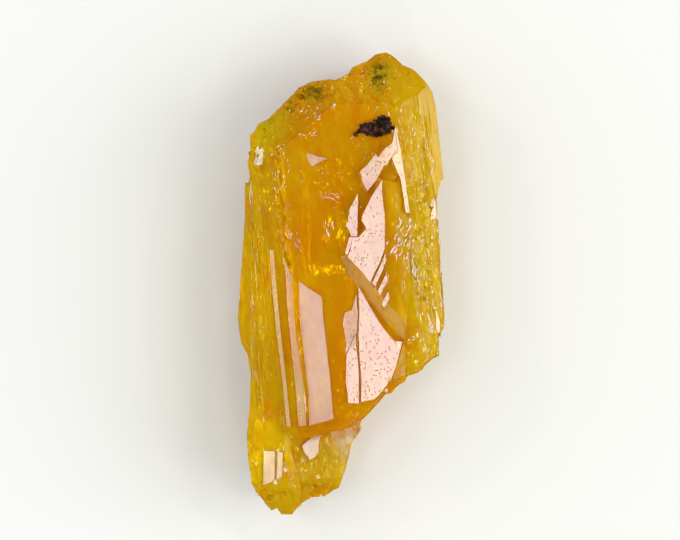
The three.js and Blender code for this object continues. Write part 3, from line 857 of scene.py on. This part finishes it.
def thicken(shape: bmesh.types.BMesh, rim: Sequence[bmesh.types.BMVert], move: Vector) -> None:
    """Makes a closed plate of one face.

    Args:
        shape: The shape that the face is in.
        rim: The face's corners.
        move: The way from the face to the plate's other side.
    """
    grown = bmesh.ops.extrude_face_region(shape, geom=[rim[0].link_faces[0]], use_keep_orig=True)["geom"]
    bmesh.ops.translate(shape, vec=move, verts=[g for g in grown if isinstance(g, bmesh.types.BMVert)])


def scatter(skin: Skin, clusters: Sequence[Facets | FlakeCluster], seed: int, add: Callable) -> bmesh.types.BMesh:
    """Adds small parts at random places of the front, cluster by cluster.

    Args:
        skin: The crystal's front.
        clusters: Where they go.
        seed: The start of the random draws.
        add: Adds one part, given the shape, what the front is met at, the cluster and the source of the draws.

    Returns:
        The shape.
    """
    shape = bmesh.new()
    chance = random.Random(seed)
    for cluster in clusters:
        part = bmesh.new()
        for _ in range(cluster.count):
            x, y = (m + chance.uniform(-1, 1) * r for m, r in zip(cluster.middle, cluster.reach))
            met = skin.meet(x, y)
            if met:
                add(part, met, cluster, chance)
        pour(part, shape)
    return shape


@dataclass(frozen=True)
class Facets:
    """A cluster of small mirror-bright facets on the front: where it lies, and how large its facets are."""

    middle: tuple[float, float]
    reach: tuple[float, float]
    count: int
    length: tuple[float, float]
    width: tuple[float, float]
    turn: float = 90.0
    turn_spread: float = 20.0


@dataclass
class BrightFacets:
    """Small growth facets on the front that look the way the plates do, each the top of a low sunk wedge."""

    turn_away: float = 1.8
    least_level: float = 0.6
    rise: float = 0.006
    sunk: float = 0.05
    seed: int = 4
    clusters: tuple[Facets, ...] = tuple(Facets(*row) for row in (
        # Crackled patch on the right wing, its tail to the left, and the bright streaks beside and below it
        ((2.5, 1.75), (0.4, 0.8), 64, (0.12, 0.32), (0.03, 0.065), 62.0, 14.0),
        ((2.8, 0.85), (0.2, 0.5), 14, (0.12, 0.3), (0.04, 0.08), 70.0, 30.0),
        ((2.02, 1.45), (0.22, 0.25), 5, (0.25, 0.35), (0.06, 0.09), 62.0, 6.0),
        ((2.95, 0.35), (0.15, 0.6), 6, (0.3, 0.6), (0.05, 0.1), 105.0, 8.0),
        ((3.55, -1.2), (0.22, 0.7), 6, (0.3, 0.5), (0.06, 0.14), 100.0, 15.0),
        ((3.65, 3.0), (0.12, 0.4), 3, (0.3, 0.5), (0.1, 0.16), 80.0, 10.0),
        ((3.2, 4.6), (0.45, 1.6), 26, (0.08, 0.3), (0.025, 0.06), 80.0, 20.0),
        ((3.3, 1.6), (0.5, 1.6), 30, (0.06, 0.2), (0.025, 0.06), 70.0, 40.0),
        ((3.3, -0.9), (0.5, 1.2), 22, (0.06, 0.22), (0.025, 0.06), 85.0, 30.0),
        # Whitish patches below the dome
        ((-1.4, 6.7), (0.85, 0.35), 22, (0.08, 0.25), (0.03, 0.08), 35.0, 20.0),
        ((-1.3, 5.85), (0.4, 0.15), 6, (0.08, 0.22), (0.04, 0.08), 20.0, 20.0),
        ((-3.27, 5.02), (0.13, 0.28), 12, (0.25, 0.45), (0.1, 0.18), 62.0, 20.0),
        ((-2.5, 5.3), (0.35, 0.3), 10, (0.06, 0.16), (0.03, 0.06), 60.0, 40.0),
        ((-2.35, 4.3), (0.3, 0.7), 14, (0.06, 0.18), (0.025, 0.05), 75.0, 40.0),
        # Cluster and streak left of the shield, and dashes above it
        ((-0.35, 2.15), (0.4, 0.3), 14, (0.06, 0.2), (0.03, 0.06), 90.0, 20.0),
        ((-1.72, 1.75), (0.12, 0.6), 8, (0.12, 0.35), (0.03, 0.07), 108.0, 12.0),
        ((-0.4, 3.6), (0.4, 0.25), 6, (0.15, 0.4), (0.02, 0.04), 152.0, 6.0),
        ((-2.2, 2.8), (0.3, 0.3), 8, (0.05, 0.16), (0.03, 0.07), 60.0, 40.0),
        ((0.9, 5.3), (0.8, 0.5), 8, (0.05, 0.2), (0.02, 0.05), 75.0, 12.0),
        # Fine bright lines along the outer edges
        ((-3.58, 0.3), (0.035, 3.4), 16, (0.5, 1.2), (0.02, 0.035), 93.5, 3.0),
        ((-3.4, -4.3), (0.05, 0.9), 5, (0.4, 0.8), (0.03, 0.05), 88.0, 5.0),
        ((3.96, 0.6), (0.04, 2.0), 9, (0.4, 0.9), (0.03, 0.05), 91.0, 3.0),
        # Sparks down the left band and at the lower ends
        ((-2.9, 2.9), (0.45, 1.6), 18, (0.06, 0.2), (0.02, 0.05), 95.0, 15.0),
        ((-3.3, -1.8), (0.25, 0.5), 10, (0.08, 0.22), (0.03, 0.07), 60.0, 40.0),
        ((-3.0, -4.6), (0.4, 1.4), 12, (0.06, 0.25), (0.02, 0.05), 92.0, 12.0),
        ((-2.6, -7.0), (0.4, 0.5), 8, (0.08, 0.3), (0.03, 0.08), 90.0, 20.0),
        ((3.1, -2.6), (0.45, 0.5), 14, (0.06, 0.2), (0.03, 0.08), 60.0, 60.0),
        ((0.6, 8.2), (1.6, 0.5), 16, (0.06, 0.2), (0.03, 0.06), 90.0, 50.0),
        ((0.2, 7.3), (2.6, 0.5), 16, (0.05, 0.16), (0.025, 0.05), 80.0, 40.0),
        ((-1.6, 4.3), (1.2, 0.8), 18, (0.04, 0.12), (0.02, 0.05), 80.0, 50.0),
        ((0.0, 4.0), (1.2, 1.2), 14, (0.04, 0.12), (0.02, 0.045), 80.0, 50.0),
    ))

    def build(self, skin: Skin, material: bpy.types.Material) -> bpy.types.Object:
        """Makes all facets as one piece.

        Args:
            skin: The crystal's front.
            material: The crystal's material.

        Returns:
            The piece.
        """
        shape = scatter(skin, self.clusters, self.seed, self.facet)
        return piece_of(shape, "bright_facets", material)

    def facet(
        self, shape: bmesh.types.BMesh, met: tuple[Vector, Vector], cluster: Facets, chance: random.Random
    ) -> None:
        """Adds one facet, unless the front is steep or a growth plate there.

        Args:
            shape: The facets so far.
            met: Its place on the front, and the way that the front looks there.
            cluster: The cluster that it belongs to.
            chance: The source of all that varies.
        """
        spot, front = met
        if front.z <= self.least_level or front.dot(PLATE_LOOKS) >= SAME_WAY:
            return
        tip = [chance.uniform(-1, 1) * math.radians(self.turn_away) for _ in range(2)]
        looks = (PLATE_LOOKS + Vector((*tip, 0.0))).normalized()
        turn = math.radians(cluster.turn + chance.uniform(-1, 1) * cluster.turn_spread)
        length, width = (chance.uniform(*size) / 2 * MM for size in (cluster.length, cluster.width))
        lift = UP * (self.rise * MM + width * 0.4)
        along = Vector((math.cos(turn), math.sin(turn), 0.0))
        rim = bmesh.ops.create_circle(
            shape,
            cap_ends=True,
            segments=chance.choice((4, 5, 6)),
            radius=1.0,
            matrix=Matrix.Translation(spot + lift) @ basis(along, looks) @ Matrix.Diagonal((length, width, 1.0, 1.0)),
        )["verts"]
        thicken(shape, rim, looks * -self.sunk * MM)


@dataclass(frozen=True)
class FlakeCluster:
    """Where fracture flakes lie under the front, how deep and how large they are, and which way they look.

    Those that look no set way lie as flakes have to lie to gleam when the plates do, for light that is bent as it
    enters and leaves the crystal.
    """

    middle: tuple[float, float]
    reach: tuple[float, float]
    depth: tuple[float, float]
    count: int
    size: tuple[float, float]
    looks: tuple[float, float] | None = None
    tilt: float = 0.06
    slim: tuple[float, float] = (0.2, 0.55)
    spin: float = 35.0


@dataclass
class Fractures:
    """Tiny flat fractures inside the crystal, all of one finish."""

    name: str
    finish: FlakeFinish
    clusters: tuple[FlakeCluster, ...]
    seed: int
    thickness: float = 0.004

    def build(self, skin: Skin) -> bpy.types.Object:
        """Makes all flakes as one piece.

        Args:
            skin: The crystal's front.

        Returns:
            The piece.
        """
        shape = scatter(skin, self.clusters, self.seed, lambda *spot: self.flake(skin, *spot))
        return piece_of(shape, self.name, self.finish.material())

    def flake(
        self,
        skin: Skin,
        shape: bmesh.types.BMesh,
        met: tuple[Vector, Vector],
        cluster: FlakeCluster,
        chance: random.Random,
    ) -> None:
        """Adds one flake, a thin five-sided plate along the grain, unless it would stick out of the crystal.

        Args:
            skin: The crystal's front.
            shape: The flakes so far.
            met: The place on the front above it, and the way that the front looks there.
            cluster: The cluster that it belongs to.
            chance: The source of all that varies.
        """
        spot = met[0] - UP * chance.uniform(*cluster.depth) * MM
        aslant = facing(chance.uniform(0, 360), 90.0) * chance.uniform(0.0, cluster.tilt)
        gleams = met[1] * (1.0 - 1.0 / REFRACTION) + PLATE_LOOKS / REFRACTION
        looks = ((facing(*cluster.looks) if cluster.looks else gleams.normalized()) + aslant).normalized()
        spin = Matrix.Rotation(math.radians(chance.uniform(-1, 1) * cluster.spin), 4, "Z")
        squeeze = Matrix.Diagonal((1.0, chance.uniform(*cluster.slim), 1.0, 1.0))
        corners = bmesh.ops.create_circle(
            shape,
            cap_ends=True,
            segments=5,
            radius=chance.uniform(*cluster.size) * MM,
            matrix=Matrix.Translation(spot) @ basis(GRAIN, looks) @ spin @ squeeze,
        )["verts"]
        rise = looks * self.thickness * MM
        if not all(skin.holds(corner.co + rise * lift) for corner in corners for lift in (-1, 2)):
            bmesh.ops.delete(shape, geom=corners, context="VERTS")
            return
        thicken(shape, corners, rise)


GLINTS = tuple(FlakeCluster(*row) for row in (
    ((-0.55, 0.55), (0.8, 0.2), (0.15, 0.6), 70, (0.03, 0.1)),
    ((-0.3, 2.1), (0.5, 0.6), (0.1, 0.5), 50, (0.03, 0.1)),
    ((-3.2, -1.8), (0.25, 0.5), (0.05, 0.4), 34, (0.03, 0.1)),
    ((-2.4, 0.5), (0.3, 1.8), (0.05, 0.4), 24, (0.03, 0.07)),
    ((-1.55, -1.5), (0.12, 1.4), (0.03, 0.12), 18, (0.03, 0.09)),
    ((-1.1, -3.9), (0.6, 1.1), (0.03, 0.1), 14, (0.03, 0.08)),
    ((0.0, 4.2), (1.1, 0.9), (0.1, 0.6), 60, (0.025, 0.08)),
    ((2.8, 3.6), (0.8, 1.6), (0.03, 0.4), 60, (0.03, 0.11)),
    ((3.1, -0.8), (0.7, 2.0), (0.03, 0.4), 60, (0.03, 0.11)),
    ((3.0, -2.6), (0.7, 0.7), (0.03, 0.4), 36, (0.03, 0.09)),
    ((-2.5, -7.4), (0.8, 1.2), (0.03, 0.4), 40, (0.03, 0.09)),
    ((-2.9, 4.4), (0.6, 1.6), (0.03, 0.4), 60, (0.025, 0.08)),
    ((-0.5, -4.6), (1.6, 0.7), (0.1, 0.5), 34, (0.025, 0.08)),
    ((0.6, 7.7), (2.2, 0.8), (0.03, 0.3), 70, (0.025, 0.08)),
    ((-2.0, 6.3), (1.3, 0.8), (0.03, 0.3), 50, (0.025, 0.08)),
    ((-0.05, -3.5), (0.3, 1.8), (0.05, 0.4), 14, (0.03, 0.09)),
))

FROST = tuple(FlakeCluster(*row) for row in (
    ((3.4, 5.6), (0.35, 2.0), (0.04, 0.15), 60, (0.15, 0.45), (7.5, 33.0), 0.1, (0.06, 0.16), 3.0),
    ((2.9, 5.4), (0.45, 2.6), (0.03, 0.5), 160, (0.05, 0.16), (5.5, 20.0), 0.5, (0.2, 0.5), 20.0),
    ((3.2, 2.2), (0.7, 1.8), (0.02, 0.3), 420, (0.05, 0.14), (5.5, 20.0), 0.7, (0.25, 0.7), 45.0),
    ((3.3, -0.8), (0.65, 1.8), (0.02, 0.3), 420, (0.05, 0.15), (5.5, 20.0), 0.7, (0.25, 0.6), 35.0),
    ((3.1, -2.7), (0.6, 0.6), (0.03, 0.5), 110, (0.04, 0.12), (0.0, 20.0), 0.9, (0.3, 0.8), 90.0),
    ((2.4, 1.6), (0.35, 0.9), (0.05, 0.4), 60, (0.05, 0.14), (5.5, 20.0), 0.7, (0.2, 0.5), 40.0),
    ((-3.3, 2.0), (0.5, 2.6), (0.03, 0.5), 120, (0.05, 0.18), (185.5, 30.0), 0.6, (0.1, 0.3), 10.0),
    ((-3.3, -3.2), (0.5, 3.0), (0.03, 0.5), 120, (0.05, 0.18), (185.5, 30.0), 0.6, (0.1, 0.3), 10.0),
    ((-1.4, 6.7), (1.3, 0.7), (0.05, 0.4), 80, (0.03, 0.12), (129.0, 30.0), 0.9, (0.3, 0.8), 90.0),
    ((1.0, 7.9), (2.2, 0.8), (0.05, 0.6), 120, (0.03, 0.12), (90.0, 25.0), 0.9, (0.3, 0.8), 90.0),
    ((-0.2, -7.0), (0.7, 1.1), (0.05, 0.4), 90, (0.04, 0.15), (-60.0, 20.0), 0.9, (0.3, 0.8), 90.0),
    ((0.45, -6.1), (0.45, 0.75), (0.015, 0.12), 200, (0.05, 0.14), (-30.0, 25.0), 0.9, (0.4, 0.9), 90.0),
    ((-2.5, -7.8), (0.8, 1.0), (0.05, 0.4), 60, (0.04, 0.15), (-90.0, 20.0), 0.9, (0.3, 0.8), 90.0),
    ((-1.0, 4.6), (1.4, 1.2), (0.3, 1.2), 60, (0.04, 0.16), (180.0, 5.0), 0.9, (0.2, 0.6), 90.0),
))


@dataclass(frozen=True)
class SpeckCloud:
    """Where dark specks lie under the front, and how large they are."""

    middle: tuple[float, float]
    reach: tuple[float, float]
    depth: tuple[float, float]
    count: int
    size: tuple[float, float]


@dataclass
class DarkSpecks:
    """Smoky clouds in the dome, and single black specks elsewhere."""

    finish: SmokeFinish = field(default_factory=SmokeFinish)
    clouds: tuple[SpeckCloud, ...] = (
        SpeckCloud((1.5, 8.25), (0.5, 0.75), (0.02, 0.22), 300, (0.02, 0.05)),
        SpeckCloud((-1.15, 7.5), (0.75, 0.35), (0.02, 0.2), 190, (0.015, 0.045)),
        SpeckCloud((-2.0, 6.95), (0.35, 0.3), (0.02, 0.15), 40, (0.012, 0.03)),
    )
    singles: tuple[tuple[float, float], ...] = (
        (-3.09, 3.93), (-2.49, 3.53), (-2.65, 3.37), (-3.09, 2.69), (-3.13, -0.79), (-2.77, -2.19),
        (-2.89, -4.39), (-2.45, -4.43), (-2.77, -4.71), (-2.65, -4.87), (-2.49, -5.31), (2.19, 0.53),
        (2.55, -2.15), (2.63, -2.79), (0.29, -5.45), (-1.57, -7.3), (-3.2, 0.4), (-2.7, 1.9),
    )

    def build(self, skin: Skin) -> bpy.types.Object:
        """Makes all specks as one piece.

        Args:
            skin: The crystal's front.

        Returns:
            The piece.
        """
        shape = bmesh.new()
        chance = random.Random(33)
        for cloud in self.clouds:
            for _ in range(cloud.count):
                x, y = (m + chance.gauss(0, 0.42) * r for m, r in zip(cloud.middle, cloud.reach))
                met = skin.meet(x, y)
                if met:
                    spot = met[0] - UP * chance.uniform(*cloud.depth) * MM
                    self.speck(shape, spot, chance.uniform(*cloud.size) * MM, chance)
        for x, y in self.singles:
            met = skin.meet(x, y)
            if met:
                self.speck(shape, met[0] - UP * 0.03 * MM, chance.uniform(0.02, 0.035) * MM, chance)
        return piece_of(shape, "dark_specks", self.finish.material())

    def speck(self, shape: bmesh.types.BMesh, spot: Vector, radius: float, chance: random.Random) -> None:
        """Adds one speck, a squashed icosahedron."""
        squeeze = Matrix.Diagonal((1.0, chance.uniform(0.6, 1.6), 0.7, 1.0))
        place = Matrix.Translation(spot) @ squeeze
        bmesh.ops.create_icosphere(shape, subdivisions=1, radius=radius, matrix=place)


@dataclass(frozen=True)
class SoftLight:
    """One soft lamp that looks at the crystal.

    Its compass, height and half angle are in degrees, as seen from the crystal. Its distance is in metres. Where it
    isn't mirrored, it lights the crystal and the floor with no gleam of its own.
    """

    name: str
    compass: float
    height: float
    distance: float
    half_angle: float
    glow: float
    colour: tuple[float, float, float] = (1.0, 1.0, 1.0)
    mirrored: bool = True

    def build(self, target: Vector) -> bpy.types.Object:
        """Makes the lamp.

        Args:
            target: What it looks at, in metres.

        Returns:
            The lamp.
        """
        size = 2.0 * self.distance * math.tan(math.radians(self.half_angle))
        data = bpy.data.lights.new(self.name, "AREA")
        data.shape = "DISK"
        data.size = size
        data.energy = self.glow * math.pi * math.pi * (size / 2) ** 2
        data.color = self.colour
        lamp = bpy.data.objects.new(self.name, data)
        looks = facing(self.compass, 90.0 - self.height)
        lamp.location = target + looks * self.distance
        lamp.rotation_euler = looks.to_track_quat("Z", "Y").to_euler()
        lamp.visible_camera = False
        lamp.visible_glossy = self.mirrored
        bpy.context.scene.collection.objects.link(lamp)
        return lamp


def spark(side: str, compass: float, height: float) -> SoftLight:
    """Gives a small golden lamp, for gleams on the crystal."""
    return SoftLight(f"spark_{side}", compass, height, 0.5, 3.0, 17.0, (1.0, 0.87, 0.4))


@dataclass
class Studio:
    """The pale floor, the soft light and the camera."""

    floor_drop: float = 0.03
    floor_half: float = 900.0
    floor_colour: tuple[float, ...] = (0.8, 0.8, 0.79, 1.0)
    sky: tuple[float, ...] = (0.9, 0.95, 1.0, 1.0)
    sky_glow: float = 0.74
    view_middle: tuple[float, float, float] = (-0.05, 0.535, 3.0)
    view_width: float = 27.2
    lens: float = 300.0
    lights: tuple[SoftLight, ...] = (
        SoftLight("plate_light", 185.5, 76.0, 0.15, 6.0, 9.5, (0.7, 0.74, 0.94)),
        SoftLight("edge_light", 7.5, 24.0, 0.6, 9.0, 2.5, (1.0, 0.9, 0.72)),
        spark("right", 20.0, 55.0),
        spark("back", 80.0, 50.0),
        spark("left", 150.0, 42.0),
        spark("front", 285.0, 48.0),
        spark("side", 335.0, 60.0),
        SoftLight("fill_right", 350.0, 36.0, 0.6, 23.0, 2.5, mirrored=False),
        SoftLight("fill_left", 170.0, 36.0, 0.6, 23.0, 0.65, mirrored=False),
    )

    def build(self) -> None:
        """Makes the whole studio."""
        self.build_floor()
        self.build_sky()
        for light in self.lights:
            light.build(Vector((0.0, 0.0, 3.0)) * MM)
        self.build_camera()
        scene = bpy.context.scene
        scene.view_settings.view_transform = "Standard"
        scene.cycles.max_bounces = 16
        scene.cycles.transmission_bounces = 16
        scene.cycles.glossy_bounces = 8
        scene.cycles.sample_clamp_indirect = 8.0

    def build_floor(self) -> None:
        """Makes the floor, a hair below the crystal. No facet mirrors it, but it shows through the crystal."""
        shape = bmesh.new()
        place = Matrix.Translation((0.0, 0.0, -self.floor_drop * MM))
        bmesh.ops.create_grid(shape, x_segments=1, y_segments=1, size=self.floor_half * MM, matrix=place)
        mesh = bpy.data.meshes.new("floor")
        shape.to_mesh(mesh)
        shape.free()
        material = bpy.data.materials.new("pale_floor")
        n = Nodes(material)
        body = n.add("ShaderNodeBsdfPrincipled", Base_Color=self.floor_colour, Roughness=0.9)
        n.close(body.outputs[0])
        mesh.materials.append(material)
        floor = bpy.data.objects.new("floor", mesh)
        floor.visible_glossy = False
        bpy.context.scene.collection.objects.link(floor)

    def build_sky(self) -> None:
        """Makes the even light from all round."""
        world = bpy.data.worlds.new("studio")
        world.use_nodes = True
        back = world.node_tree.nodes["Background"]
        back.inputs["Color"].default_value = self.sky
        back.inputs["Strength"].default_value = self.sky_glow
        world.cycles_visibility.glossy = False
        bpy.context.scene.world = world

    def build_camera(self) -> None:
        """Makes the camera, straight above the front."""
        data = bpy.data.cameras.new("camera")
        data.lens = self.lens
        data.clip_start = 0.01
        camera = bpy.data.objects.new("camera", data)
        distance = self.view_width * self.lens / data.sensor_width
        camera.location = (Vector(self.view_middle) + UP * distance) * MM
        bpy.context.scene.collection.objects.link(camera)
        bpy.context.scene.camera = camera


def main() -> None:
    """Builds the studio and then the crystal, piece by piece."""
    logging.basicConfig(level=logging.INFO, format="%(message)s")
    Studio().build()
    crystal = ClearCrystal().build()
    OxideCrust().build()
    skin = Skin(crystal)
    BrightFacets().build(skin, crystal.data.materials[0])
    Fractures("fracture_glints", MIRROR, GLINTS, seed=21).build(skin)
    Fractures("fracture_frost", HEALED, FROST, seed=22).build(skin)
    DarkSpecks().build(skin)


if __name__ == "__main__":
    main()
